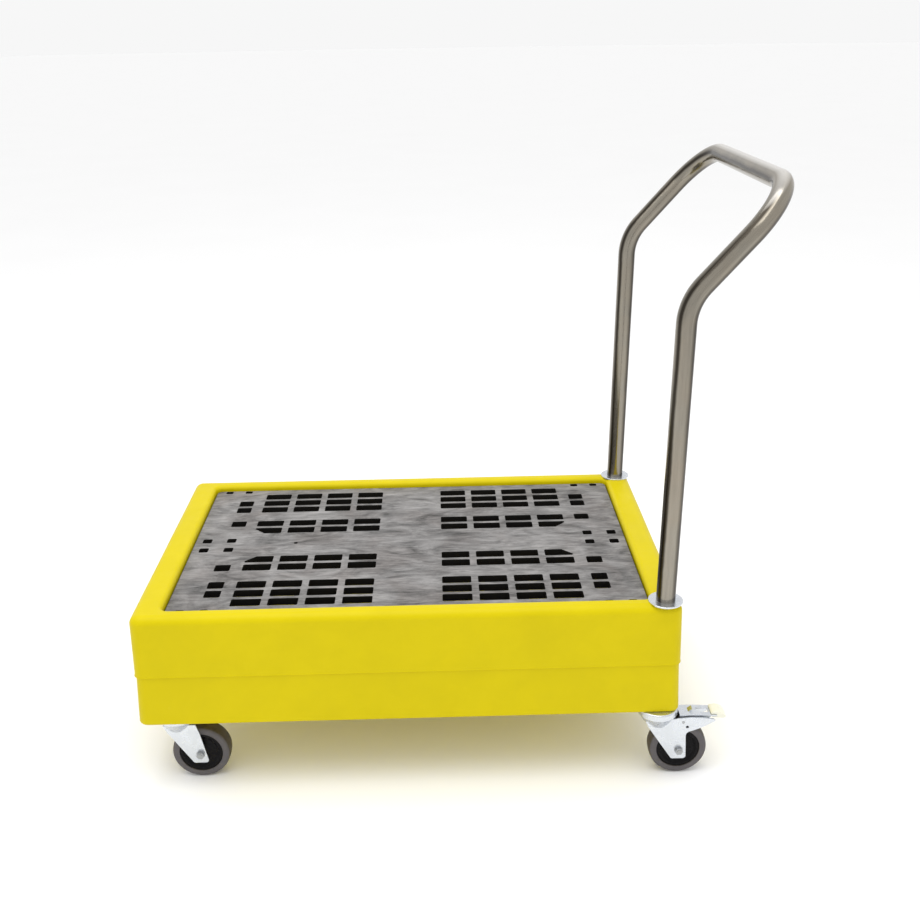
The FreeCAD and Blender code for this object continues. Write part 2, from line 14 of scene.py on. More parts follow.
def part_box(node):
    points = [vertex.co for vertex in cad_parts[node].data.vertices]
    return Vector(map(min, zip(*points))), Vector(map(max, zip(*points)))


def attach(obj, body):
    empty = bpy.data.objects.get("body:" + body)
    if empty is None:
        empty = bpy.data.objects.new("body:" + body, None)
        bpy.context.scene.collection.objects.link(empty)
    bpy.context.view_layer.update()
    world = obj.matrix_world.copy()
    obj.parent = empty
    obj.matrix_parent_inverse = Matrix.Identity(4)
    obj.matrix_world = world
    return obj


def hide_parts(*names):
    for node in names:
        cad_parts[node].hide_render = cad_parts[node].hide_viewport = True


bl_info = {
    "name": "Drum Dolly",
    "version": (1, 0, 0),
    "blender": (4, 5, 0),
    "location": "View3D > Sidebar > Dolly",
    "description": "Builds the visible pieces of a drum dolly around its packed frame",
    "category": "Object",
}

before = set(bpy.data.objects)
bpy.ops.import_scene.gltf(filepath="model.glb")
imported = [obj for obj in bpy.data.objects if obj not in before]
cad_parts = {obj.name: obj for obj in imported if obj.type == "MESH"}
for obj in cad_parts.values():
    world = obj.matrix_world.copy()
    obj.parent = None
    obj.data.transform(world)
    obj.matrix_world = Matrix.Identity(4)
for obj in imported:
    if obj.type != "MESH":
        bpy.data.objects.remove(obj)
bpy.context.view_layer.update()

SIDES = ("left", "right")
CASTORS = [(end, side) for end in ("front", "rear") for side in SIDES]

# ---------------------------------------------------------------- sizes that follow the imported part
TRAY_LOW, TRAY_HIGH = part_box("tray")
TRAY_MIDDLE = (TRAY_LOW + TRAY_HIGH) / 2
HANDLE_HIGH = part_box("push_handle")[1]
RIM_HALF = (0.500, 0.322)          # half length and half width at the rim
FOOT_DRAFT = 0.004                 # the foot is this much wider on each side
SEAM_SHARE = 0.55                  # part of that draft reached at the seam
BEAD_PROUD = 0.0006
SEAM_HEIGHT = 0.2435
OPENING_HALF = (0.446, 0.287)
OPENING_CORNER = 0.014
LEDGE_HALF = (0.424, 0.265)
LEDGE_CORNER = 0.034
SUMP_HALF = (0.416, 0.257)
SUMP_CORNER = 0.026
LEDGE_HEIGHT = 0.3185
SUMP_HEIGHT = 0.1485
POST_FOOT = 0.1545
BALL_RADIUS = 0.004
KING_BORE = 0.0062
WHEEL_BORE = 0.0061
TYRE_DEPTH = 0.014                 # running surface to wheel rim
CROWN_SHARE = 0.55                 # part of the tyre's width under the crown
CROWN_RISE = 0.0007


# ---------------------------------------------------------------- numpy surfaces
def quarter_turns(points, setback, steps, runs):
    """Open run through the rows of points, with every inner corner rounded.

    A corner C with cut-back points S and E becomes C + (S - C)(1 - sin a) + (E - C)(1 - cos a) for a
    from 0 to 90 degrees, which is a true quarter circle where the two runs meet squarely.
    The straight runs between are divided evenly.
    """
    points = np.asarray(points, float)
    setback = np.broadcast_to(np.asarray(setback, float), (len(points) - 2,))
    before, corner, after = points[:-2], points[1:-1], points[2:]
    reach_in = np.linalg.norm(before - corner, axis=1)
    reach_out = np.linalg.norm(after - corner, axis=1)
    start = corner + (before - corner) * np.minimum(setback / reach_in, 0.46)[:, None]
    end = corner + (after - corner) * np.minimum(setback / reach_out, 0.46)[:, None]
    angle = np.linspace(0, math.pi / 2, steps)[None, :, None]
    arcs = (corner[:, None] + (start - corner)[:, None] * (1 - np.sin(angle))
            + (end - corner)[:, None] * (1 - np.cos(angle)))
    run_start = np.vstack([points[:1], end])
    run_end = np.vstack([start, points[-1:]])
    pieces = []
    for k, count in enumerate(np.broadcast_to(runs, (len(run_start),))):
        share = np.linspace(0, 1, count + 2)[1:-1, None]
        pieces.append(run_start[k] + (run_end[k] - run_start[k]) * share)
        if k < len(arcs):
            pieces.append(arcs[k])
    return np.vstack([points[:1], *pieces, points[-1:]])


def soft_loop(points, setback, steps=4):
    """Closed outline whose every corner is rounded as in quarter_turns."""
    points = np.asarray(points, float)
    setback = np.broadcast_to(np.asarray(setback, float), (len(points),))
    before, after = np.roll(points, 1, axis=0), np.roll(points, -1, axis=0)
    reach_in = np.linalg.norm(before - points, axis=1)
    reach_out = np.linalg.norm(after - points, axis=1)
    start = points + (before - points) * np.minimum(setback / reach_in, 0.46)[:, None]
    end = points + (after - points) * np.minimum(setback / reach_out, 0.46)[:, None]
    angle = np.linspace(0, math.pi / 2, steps)[None, :, None]
    arcs = (points[:, None] + (start - points)[:, None] * (1 - np.sin(angle))
            + (end - points)[:, None] * (1 - np.cos(angle)))
    return arcs.reshape(-1, points.shape[1])


def net_faces(rows, columns, close_rows, close_columns=True):
    """Quads between neighbours of a rows x columns net of points, wrapped round where asked."""
    i = np.arange(rows if close_rows else rows - 1)[:, None]
    j = np.arange(columns if close_columns else columns - 1)[None, :]
    i2, j2 = (i + 1) % rows, (j + 1) % columns
    corners = [i * columns + j, i * columns + j2, i2 * columns + j2, i2 * columns + j]
    return np.stack(np.broadcast_arrays(*corners), axis=-1).reshape(-1, 4)


def skin(name, net, close_rows=False, flow=None):
    """Mesh object from a net of points, with its poles and seams merged and its faces outward."""
    rows, columns = net.shape[:2]
    mesh = bpy.data.meshes.new(name)
    mesh.from_pydata(net.reshape(-1, 3).tolist(), [], net_faces(rows, columns, close_rows).tolist())
    if flow is not None:
        layer = mesh.attributes.new("flow", "FLOAT_VECTOR", "POINT")
        layer.data.foreach_set("vector", flow.reshape(-1).astype(np.float32))
    work = bmesh.new()
    work.from_mesh(mesh)
    bmesh.ops.remove_doubles(work, verts=work.verts, dist=2e-6)
    bmesh.ops.recalc_face_normals(work, faces=work.faces)
    work.to_mesh(mesh)
    work.free()
    return place(name, mesh)


def place(name, mesh):
    """Smooth object at the origin, with flat faces kept flat by area-weighted normals."""
    mesh.shade_smooth()
    piece = bpy.data.objects.new(name, mesh)
    bpy.context.scene.collection.objects.link(piece)
    even = piece.modifiers.new("Even shading", "WEIGHTED_NORMAL")
    even.weight = 80
    return piece


def softened(name, node, width, angle=35.0, segments=2):
    """Merged copy of a CAD node with its sharp edges rolled over."""
    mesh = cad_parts[node].data.copy()
    mesh.name = name
    mesh.materials.clear()
    work = bmesh.new()
    work.from_mesh(mesh)
    bmesh.ops.remove_doubles(work, verts=work.verts, dist=5e-6)
    bmesh.ops.dissolve_limit(work, angle_limit=math.radians(0.7), verts=work.verts, edges=work.edges)
    work.to_mesh(mesh)
    work.free()
    piece = place(name, mesh)
    roll = piece.modifiers.new("Rolled edges", "BEVEL")
    roll.width, roll.segments = width, segments
    roll.limit_method, roll.angle_limit = "ANGLE", math.radians(angle)
    roll.use_clamp_overlap = True
    piece.modifiers.move(1, 0)
    return piece


def spun(name, outline, centre, axis, segments=96):
    """Ring-shaped solid: a closed (radius, height) outline carried round an axis through centre.

    A point at radius r, height h and angle a sits at centre + r(cos a) u + r(sin a) v + h axis.
    """
    axis = Vector(axis).normalized()
    u = axis.orthogonal().normalized()
    v = axis.cross(u)
    angle = np.linspace(0, 2 * math.pi, segments, endpoint=False)[None, :, None]
    radius, height = outline[:, 0][:, None, None], outline[:, 1][:, None, None]
    net = (np.array(centre) + radius * (np.cos(angle) * np.array(u) + np.sin(angle) * np.array(v))
           + height * np.array(axis))
    return skin(name, net, close_rows=True)


def ripple(points, size):
    """Slow uneven swell of a moulded wall: three crossed sine waves, at most size high."""
    x, y, z = points[..., 0], points[..., 1], points[..., 2]
    wave = (np.sin(9.0 * x + 4.0 * z + 0.6) * np.cos(7.0 * z + 3.0 * y)
            + np.sin(15.0 * x - 6.0 * y + 11.0 * z + 2.0) + np.cos(23.0 * y + 19.0 * z - 8.0 * x))
    return size * wave / 3.0


def rounded_ring(half_x, half_y, radius, long_steps, short_steps, arc_steps):
    """Level rounded rectangles, one per row: corner centres plus radius times the direction of the corner angle."""
    corners = []
    for turn, (sx, sy) in enumerate(((1, 1), (-1, 1), (-1, -1), (1, -1))):
        angle = math.pi / 2 * turn + np.linspace(0, math.pi / 2, arc_steps)[None, :]
        x = sx * (half_x - radius)[:, None] + radius[:, None] * np.cos(angle)
        y = sy * (half_y - radius)[:, None] + radius[:, None] * np.sin(angle)
        corners.append(np.stack([x, y], axis=-1))
    parts = []
    for turn, corner in enumerate(corners):
        following = corners[(turn + 1) % 4]
        steps = long_steps if turn % 2 == 0 else short_steps
        share = np.linspace(0, 1, steps + 1)[None, 1:-1, None]
        parts += [corner, corner[:, -1:] + (following[:, :1] - corner[:, -1:]) * share]
    return np.concatenate(parts, axis=1)


def tray_shell(settings):
    """Closed skin of the tray: a rounded rectangle whose half sizes, corner radius and height follow a section.

    The section runs from under the floor, round the foot, up over the seam and the rim, down the
    inside to the ledge and the sump, and ends under the middle of the deck. The rim's two edges are
    quarter rounds: the sizes shrink by R(1 - cos a) while the height is R(1 - sin a) below the top, and the
    same turned round on the inner edge.
    """
    rim_x, rim_y = RIM_HALF
    foot = FOOT_DRAFT
    above, below = SEAM_SHARE * foot, SEAM_SHARE * foot - settings.seam_step
    low, high, seam = TRAY_LOW.z, TRAY_HIGH.z, SEAM_HEIGHT
    bead, proud = settings.seam_bead, above + BEAD_PROUD
    corner = settings.corner_radius
    roll, inner = settings.rim_roll, settings.rim_inner_roll
    outside = [
        (rim_x - rim_y, 0.0, 0.0, low),
        (rim_x + foot, rim_y + foot, corner, low),
        (rim_x + below, rim_y + below, corner, seam - bead / 2),
        (rim_x + proud, rim_y + proud, corner, seam - bead / 2 + 0.0004),
        (rim_x + proud, rim_y + proud, corner, seam + bead / 2),
        (rim_x + above, rim_y + above, corner, seam + bead / 2 + 0.0005),
        (rim_x, rim_y, corner, high - roll),
    ]
    inside = [
        (*OPENING_HALF, OPENING_CORNER, high - inner),
        (*OPENING_HALF, OPENING_CORNER, LEDGE_HEIGHT),
        (*LEDGE_HALF, LEDGE_CORNER, LEDGE_HEIGHT),
        (*SUMP_HALF, SUMP_CORNER, SUMP_HEIGHT),
        (SUMP_HALF[0] - SUMP_HALF[1], 0.0, 0.0, SUMP_HEIGHT),
    ]
    outside = quarter_turns(outside, [0.006, 0.0007, 0.0005, 0.0005, 0.0007], 7, [6, 8, 1, 1, 1, 10])
    inside = quarter_turns(inside, [0.003, 0.004, 0.016], 7, [3, 1, 8, 6])
    turn = np.linspace(0, math.pi / 2, 9)[:, None]
    drop = np.concatenate([np.tile(1 - np.cos(turn), (1, 3)), 1 - np.sin(turn)], axis=1)
    crest = np.array([rim_x, rim_y, corner, high]) - roll * drop
    rise = np.concatenate([np.tile(np.sin(turn) - 1, (1, 3)), 1 - np.cos(turn)], axis=1)
    lip = np.array([*OPENING_HALF, OPENING_CORNER, high]) - inner * rise
    share = np.linspace(0, 1, 7)[1:-1, None]
    flat = crest[-1] + (lip[0] - crest[-1]) * share
    rows = np.vstack([outside[:-1], crest, flat, lip, inside[1:]])
    ring = rounded_ring(rows[:, 0], rows[:, 1], rows[:, 2], 64, 42, 9)
    net = np.empty(ring.shape[:2] + (3,))
    net[..., :2] = ring + np.array([TRAY_MIDDLE.x, TRAY_MIDDLE.y])
    net[..., 2] = rows[:, 3][:, None]
    swell = ripple(net, settings.wall_ripple)
    outward = ring / np.maximum(np.linalg.norm(ring / np.array(RIM_HALF), axis=-1, keepdims=True), 1e-6)
    outward /= np.maximum(np.linalg.norm(outward, axis=-1, keepdims=True), 1e-6)
    wall = (np.abs(rows[:, 3] - low) > 0.004) & (np.arange(len(rows)) < len(outside) + len(crest))
    net[..., :2] += outward * (swell - settings.wall_ripple)[..., None] * wall[:, None, None]
    return skin("tray_shell", net)


def handle_line(settings):
    """Centre line of the bent tube, its direction and its side vector, as three arrays of rows.

    Left half: post, round elbow, leaning arm, round corner and half the bar. A circle bend from
    direction p to q about the radius R is start + R(sin a) p + R(1 - cos a) q, with p and q square to each
    other. The right half is its mirror image, walked backwards.
    """
    tube = settings.tube_radius
    lean, tilt = math.radians(settings.post_lean), math.radians(settings.arm_lean)
    post_y, bar_x, bar_z = HANDLE_HIGH.y - tube, HANDLE_HIGH.x - tube, HANDLE_HIGH.z - tube
    elbow = np.array([bar_x - (bar_z - settings.elbow_height) * math.tan(tilt), -post_y,
                      settings.elbow_height])
    up = np.array([math.sin(lean), 0.0, math.cos(lean)])
    arm = np.array([math.sin(tilt), 0.0, math.cos(tilt)])
    across = np.array([0.0, 1.0, 0.0])
    foot = elbow - up * (settings.elbow_height - POST_FOOT) / up[2]
    bend = tilt - lean
    elbow_reach = settings.elbow_bend * math.tan(bend / 2)
    elbow_start = elbow - up * elbow_reach
    side = np.array([math.cos(lean), 0.0, -math.sin(lean)])
    corner = np.array([bar_x, -post_y, bar_z])
    corner_start = corner - arm * settings.corner_bend
    middle = np.array([bar_x, 0.0, bar_z])

    def straight(start, end, count, direction, angle):
        share = np.linspace(0, 1, count)[:, None]
        return (start + (end - start) * share, np.tile(direction, (count, 1)), np.full(count, angle))

    turn = np.linspace(0, bend, 18)[1:-1, None]
    elbow_arc = (elbow_start + settings.elbow_bend * (np.sin(turn) * up + (1 - np.cos(turn)) * side),
                 np.cos(turn) * up + np.sin(turn) * side, lean + turn[:, 0])
    turn = np.linspace(0, math.pi / 2, 26)[1:-1, None]
    corner_arc = (corner_start + settings.corner_bend * (np.sin(turn) * arm + (1 - np.cos(turn)) * across),
                  np.cos(turn) * arm + np.sin(turn) * across, np.full(len(turn), tilt))
    parts = [straight(foot, elbow_start, 16, up, lean), elbow_arc,
             straight(elbow + arm * elbow_reach, corner_start, 8, arm, tilt), corner_arc,
             straight(corner + across * settings.corner_bend, middle, 8, across, tilt)]
    line, direction, angle = (np.concatenate([part[k] for part in parts]) for k in range(3))
    flip = np.array([1.0, -1.0, 1.0])
    line = np.vstack([line, (line * flip)[-2::-1]])
    direction = np.vstack([direction, (direction * -flip)[-2::-1]])
    angle = np.concatenate([angle, angle[-2::-1]])
    outer = np.stack([-np.cos(angle), np.zeros_like(angle), np.sin(angle)], axis=-1)
    return line, direction, outer


def handle_tube(settings, around=48):
    """Round tube carried along the handle line: line + R(cos a) e + R(sin a)(t x e), closed at both feet."""
    line, direction, outer = handle_line(settings)
    other = np.cross(direction, outer)
    angle = np.linspace(0, 2 * math.pi, around, endpoint=False)[None, :, None]
    spoke = np.cos(angle) * outer[:, None] + np.sin(angle) * other[:, None]
    net = line[:, None] + settings.tube_radius * spoke
    along = np.concatenate([[0.0], np.cumsum(np.linalg.norm(np.diff(line, axis=0), axis=1))])
    flow = np.empty_like(net)
    flow[..., 0:1], flow[..., 1:2] = np.cos(angle) * settings.tube_radius, np.sin(angle) * settings.tube_radius
    flow[..., 2] = along[:, None]
    first, last = np.repeat(line[:1, None], around, axis=1), np.repeat(line[-1:, None], around, axis=1)
    net = np.concatenate([first, net, last])
    flow = np.concatenate([flow[:1], flow, flow[-1:]])
    return skin("handle_tube", net, flow=flow)


# ---------------------------------------------------------------- finishes
class Finish:
    """One procedural material, put together from its nodes."""

    def __init__(self, name, **constants):
        self.material = bpy.data.materials.new(name)
        self.material.use_nodes = True
        self.tree = self.material.node_tree
        self.tree.nodes.clear()
        self.out = self.tree.nodes.new("ShaderNodeOutputMaterial")
        self.shader = self.tree.nodes.new("ShaderNodeBsdfPrincipled")
        self.tree.links.new(self.shader.outputs["BSDF"], self.out.inputs["Surface"])
        for socket, value in constants.items():
            self.shader.inputs[socket.replace("_", " ")].default_value = value
        coordinates = self.tree.nodes.new("ShaderNodeTexCoord")
        self.place = coordinates.outputs["Object"]
        self.face = coordinates.outputs["Normal"]

    def link(self, source, target):
        """Joins an output to an input."""
        self.tree.links.new(source, target)

    def stretch(self, scale, source=None):
        """Coordinates stretched by a scale on each axis."""
        mapping = self.tree.nodes.new("ShaderNodeMapping")
        mapping.inputs["Scale"].default_value = scale
        self.link(source or self.place, mapping.inputs["Vector"])
        return mapping.outputs["Vector"]

    def noise(self, scale, detail=3.0, rough=0.55, distortion=0.0, source=None):
        """Cloudy value from 0 to 1 at a number of cells a metre."""
        node = self.tree.nodes.new("ShaderNodeTexNoise")
        node.inputs["Scale"].default_value = scale
        node.inputs["Detail"].default_value = detail
        node.inputs["Roughness"].default_value = rough
        node.inputs["Distortion"].default_value = distortion
        self.link(source or self.place, node.inputs["Vector"])
        return node.outputs["Fac"]

    def band(self, value, low, high, to_low=0.0, to_high=1.0):
        """Value carried from one range to another, held at its ends."""
        node = self.tree.nodes.new("ShaderNodeMapRange")
        for socket, number in zip(("From Min", "From Max", "To Min", "To Max"), (low, high, to_low, to_high)):
            node.inputs[socket].default_value = number
        self.link(value, node.inputs["Value"])
        return node.outputs["Result"]

    def blend(self, share, first, second, kind="MIX"):
        """Colour between two colours, each a tuple or an output."""
        node = self.tree.nodes.new("ShaderNodeMix")
        node.data_type, node.blend_type = "RGBA", kind
        for socket, value in ((node.inputs[0], share), (node.inputs[6], first), (node.inputs[7], second)):
            if isinstance(value, (tuple, list, float)):
                socket.default_value = value
            else:
                self.link(value, socket)
        return node.outputs[2]

    def sum(self, first, second, kind="ADD"):
        """Arithmetic of two values, each a number or an output."""
        node = self.tree.nodes.new("ShaderNodeMath")
        node.operation = kind
        for socket, value in zip(node.inputs, (first, second)):
            if isinstance(value, float):
                socket.default_value = value
            else:
                self.link(value, socket)
        return node.outputs[0]

    def relief(self, height, distance, strength=1.0, under=None):
        """Bump of a height in metres, laid over another bump if one is given."""
        node = self.tree.nodes.new("ShaderNodeBump")
        node.inputs["Strength"].default_value = strength
        node.inputs["Distance"].default_value = distance
        self.link(height, node.inputs["Height"])
        if under is not None:
            self.link(under, node.inputs["Normal"])
        return node.outputs["Normal"]

    def done(self, colour, roughness, normal):
        """Joins colour, roughness and bump to the shader."""
        self.link(colour, self.shader.inputs["Base Color"])
        self.link(roughness, self.shader.inputs["Roughness"])
        self.link(normal, self.shader.inputs["Normal"])
        return self.material


def tone(colour, factor):
    """A colour made lighter or darker, as RGBA."""
    return tuple(min(1.0, channel * factor) for channel in colour[:3]) + (1.0,)


def clouded(name, colour, spread, cell, roughness, grain, grain_depth, **constants):
    """Plain finish with a soft cloud of tone, uneven gloss and a fine surface grain."""
    finish = Finish(name, **constants)
    cloud = finish.noise(cell, 4.0, 0.6, 0.4)
    speck = finish.noise(grain, 3.0)
    shade = finish.band(finish.sum(finish.sum(cloud, 0.7, "MULTIPLY"), finish.sum(speck, 0.3, "MULTIPLY")), 0.3, 0.7)
    base = finish.blend(shade, tone(colour, 1 - spread), tone(colour, 1 + spread))
    gloss = finish.band(finish.noise(cell * 2.3, 5.0, 0.65), 0.3, 0.7, roughness[0], roughness[1])
    bump = finish.relief(speck, grain_depth)
    return finish.done(base, gloss, bump)


def moulded_yellow(settings):
    """Rotationally moulded polyethylene: waxy yellow with slow tone changes and an orange-peel skin."""
    finish = Finish("moulded_yellow", IOR=1.5, Specular_IOR_Level=0.12)
    colour = tuple(settings.tray_colour)
    cloud = finish.noise(5.0, 4.0, 0.55, 0.6)
    patch = finish.noise(21.0, 5.0, 0.6, 0.3)
    shade = finish.band(finish.sum(cloud, patch), 0.75, 1.25)
    base = finish.blend(shade, tone(colour, 0.965), tone(colour, 1.025))
    scuff = finish.band(finish.noise(36.0, 9.0, 0.75, 1.6), 0.62, 0.76, 0.0, 0.05)
    base = finish.blend(scuff, base, (0.95, 0.86, 0.30, 1.0))
    gloss = finish.band(finish.noise(17.0, 6.0, 0.65), 0.3, 0.7, 0.34, 0.48)
    wave = finish.relief(finish.noise(14.0, 2.0), 0.0022, 0.5)
    peel = finish.relief(finish.noise(620.0, 3.0), 0.00012, 0.8, wave)
    return finish.done(base, gloss, peel)


def deck_with_painted_sheen(settings):
    """Dark moulded plastic whose upward faces get a painted mottled grey standing in for the bright sky's
    reflection; the slot walls stay dark.
    """
    finish = Finish("deck_with_painted_sheen", IOR=1.5, Specular_IOR_Level=0.22)
    colour = tuple(settings.painted_deck_sheen_colour)
    long_grain = finish.stretch((0.45, 1.0, 1.0))
    swirl = finish.noise(16.0, 8.0, 0.62, 2.6, long_grain)
    cloud = finish.noise(7.0, 5.0, 0.6, 1.2)
    scratch = finish.noise(120.0, 6.0, 0.7, 1.0, finish.stretch((0.18, 1.0, 1.0)))
    speck = finish.noise(700.0, 3.0)
    shade = finish.sum(finish.sum(swirl, 0.62, "MULTIPLY"), finish.sum(cloud, 0.38, "MULTIPLY"))
    shade = finish.sum(shade, finish.sum(finish.sum(scratch, -0.5), 0.55, "MULTIPLY"))
    shade = finish.sum(shade, finish.sum(finish.sum(speck, -0.5), 0.12, "MULTIPLY"))
    painted_sheen_mottle = finish.blend(finish.band(shade, 0.30, 0.72), tone(colour, 0.32), tone(colour, 1.95))
    warmth = finish.band(finish.noise(11.0, 3.0, 0.5, 0.8), 0.45, 0.7, 0.0, 0.45)
    painted_sheen_mottle = finish.blend(warmth, painted_sheen_mottle, (0.30, 0.255, 0.235, 1.0), "SOFT_LIGHT")
    # Painted reflection: upward faces get the mottled grey that stands in for the bright sky reflected in dark
    # plastic; faces turned away stay near black.
    split = finish.tree.nodes.new("ShaderNodeSeparateXYZ")
    finish.link(finish.face, split.inputs[0])
    top = finish.band(split.outputs["Z"], 0.35, 0.85)
    base = finish.blend(top, (0.006, 0.0055, 0.0055, 1.0), painted_sheen_mottle)
    gloss = finish.band(shade, 0.3, 0.7, 0.62, 0.46)
    bump = finish.relief(shade, 0.0009, 0.6)
    bump = finish.relief(speck, 0.00008, 0.8, bump)
    return finish.done(base, gloss, bump)


def brushed_tube(settings):
    """Brushed stainless tube: fine grain and warm bands along the line, a painted dark reflection stripe near the
    outer side and a painted dark edge on the opposite side, and a painted pale highlight on upward faces.
    """
    finish = Finish("brushed_tube", Metallic=1.0)
    line = finish.tree.nodes.new("ShaderNodeAttribute")
    line.attribute_name = "flow"
    flow = line.outputs["Vector"]
    grain = finish.noise(900.0, 5.0, 0.6, 0.0, finish.stretch((1.0, 1.0, 0.035), flow))
    bands = finish.noise(95.0, 4.0, 0.6, 0.0, finish.stretch((1.0, 1.0, 0.03), flow))
    cloud = finish.noise(9.0, 4.0, 0.6, 0.5)
    colour = tuple(settings.tube_colour)
    shade = finish.sum(finish.sum(bands, 0.6, "MULTIPLY"), finish.sum(grain, 0.4, "MULTIPLY"))
    base = finish.blend(finish.band(shade, 0.34, 0.66), tone(colour, 0.72), tone(colour, 1.16))
    base = finish.blend(finish.band(cloud, 0.35, 0.7, 0.0, 0.45), base, (0.30, 0.25, 0.19, 1.0))
    split = finish.tree.nodes.new("ShaderNodeSeparateXYZ")
    finish.link(flow, split.inputs[0])
    # Painted reflection: a dark stripe near the tube's outer side and a dark edge on the opposite side stand in for
    # reflections of darker surroundings.
    waver = finish.sum(split.outputs["X"], finish.sum(finish.sum(cloud, -0.5), 0.004, "MULTIPLY"))
    painted_reflection_stripe_offset = finish.sum(finish.sum(waver, -0.0136), 0.0, "ABSOLUTE")
    base = finish.blend(finish.band(painted_reflection_stripe_offset, 0.0040, 0.0012, 0.0, 0.92), base, (0.020, 0.016, 0.012, 1.0))
    base = finish.blend(finish.band(waver, -0.0065, -0.0130, 0.0, 0.92), base, (0.028, 0.022, 0.016, 1.0))
    # Painted highlight: faces turned upward are blended towards a pale colour, as if they caught the overhead light.
    painted_highlight_facing = finish.tree.nodes.new("ShaderNodeSeparateXYZ")
    finish.link(finish.face, painted_highlight_facing.inputs[0])
    base = finish.blend(finish.band(painted_highlight_facing.outputs["Z"], 0.70, 0.97, 0.0, 0.85), base, (0.78, 0.75, 0.70, 1.0))
    gloss = finish.band(shade, 0.3, 0.7, 0.15, 0.26)
    bump = finish.relief(grain, 0.00003, 0.7)
    return finish.done(base, gloss, bump)


def zinc_sheet(settings):
    """Bright zinc on pressed sheet: cool near-white with slow clouds and fine rolling lines."""
    finish = Finish("zinc_sheet", Metallic=0.9, Specular_IOR_Level=0.5)
    colour = tuple(settings.zinc_colour)
    cloud = finish.noise(42.0, 4.0, 0.55, 0.5)
    rolled = finish.noise(900.0, 3.0, 0.5, 0.0, finish.stretch((0.06, 1.0, 1.0)))
    shade = finish.sum(finish.sum(cloud, 0.8, "MULTIPLY"), finish.sum(rolled, 0.2, "MULTIPLY"))
    base = finish.blend(finish.band(shade, 0.3, 0.7), tone(colour, 0.90), tone(colour, 1.04))
    gloss = finish.band(shade, 0.3, 0.7, 0.20, 0.32)
    bump = finish.relief(rolled, 0.00002, 0.5)
    return finish.done(base, gloss, bump)


def tyre_rubber(settings):
    """Grey rubber with a dusty bloom, darker and browner on the running surface."""
    finish = Finish("tyre_rubber", Specular_IOR_Level=0.3)
    colour = tuple(settings.tyre_colour)
    bloom = finish.noise(60.0, 6.0, 0.65, 0.7)
    grain = finish.noise(1100.0, 3.0)
    split = finish.tree.nodes.new("ShaderNodeSeparateXYZ")
    finish.link(finish.face, split.inputs[0])
    side = finish.band(finish.sum(split.outputs["Y"], 0.0, "ABSOLUTE"), 0.35, 0.8)
    plain = finish.blend(finish.band(bloom, 0.3, 0.7), tone(colour, 0.85), tone(colour, 1.18))
    tread = finish.blend(finish.band(bloom, 0.3, 0.7), (0.050, 0.042, 0.032, 1.0), (0.11, 0.092, 0.07, 1.0))
    base = finish.blend(side, tread, plain)
    gloss = finish.band(bloom, 0.3, 0.7, 0.55, 0.75)
    bump = finish.relief(grain, 0.0001, 0.8)
    return finish.done(base, gloss, bump)


finish_cache = {}


def all_finishes(settings):
    """The dolly's finishes by slot name, made once."""
    made = finish_cache.get("finishes")
    if made is None:
        steel = (0.38, 0.39, 0.40)
        made = {
            "yellow_tray": moulded_yellow(settings),
            "deck_grey": deck_with_painted_sheen(settings),
            "tube_steel": brushed_tube(settings),
            "zinc_sheet": zinc_sheet(settings),
            "tyre_rubber": tyre_rubber(settings),
            "wheel_black": clouded("wheel_black", (0.006, 0.0055, 0.006), 0.25, 50.0, (0.20, 0.34), 900.0,
                                   0.00004, Specular_IOR_Level=0.09),
            "prop_black": clouded("prop_black", (0.018, 0.018, 0.019), 0.25, 25.0, (0.40, 0.55), 700.0, 0.0001,
                                  Specular_IOR_Level=0.25),
            "bolt_steel": clouded("bolt_steel", steel, 0.14, 120.0, (0.24, 0.42), 1500.0, 0.00003,
                                  Metallic=1.0),
            "ball_steel": clouded("ball_steel", (0.66, 0.66, 0.67), 0.06, 90.0, (0.08, 0.18), 1500.0, 0.00001,
                                  Metallic=1.0),
            "pedal_cream": clouded("pedal_cream", (0.80, 0.79, 0.66), 0.05, 60.0, (0.35, 0.5), 900.0, 0.00006),
            "shoe_nylon": clouded("shoe_nylon", (0.07, 0.07, 0.075), 0.2, 70.0, (0.45, 0.6), 900.0, 0.00006),
        }
        finish_cache["finishes"] = made
    return made



def fit(piece, slot, body, *nodes):
    """Gives a new piece its finish, its body and the CAD nodes it stands for."""
    piece.data.materials.clear()
    piece.data.materials.append(all_finishes(bpy.context.scene.dolly)[slot])
    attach(piece, body)
    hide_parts(*nodes)
    return piece


def coat(node, slot):
    """Gives a CAD node, kept as it is, a finish."""
    material = all_finishes(bpy.context.scene.dolly)[slot]
    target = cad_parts[node]
    if not target.material_slots:
        target.data.materials.append(material)
    for holder in target.material_slots:
        holder.material = material


# ---------------------------------------------------------------- settings
def length(name, description, default, low=0.0, high=2.0):
    """A length property in metres."""
    return bpy.props.FloatProperty(name=name, description=description, default=default, min=low, max=high,
                                   unit="LENGTH", precision=4)


def angle_of(name, description, default):
    """An angle property in degrees."""
    return bpy.props.FloatProperty(name=name, description=description, default=default, min=0.0, max=90.0)


def colour_of(name, description, default):
    """A colour property."""
    return bpy.props.FloatVectorProperty(name=name, description=description, default=default, min=0.0, max=1.0,
                                         size=3, subtype="COLOR")


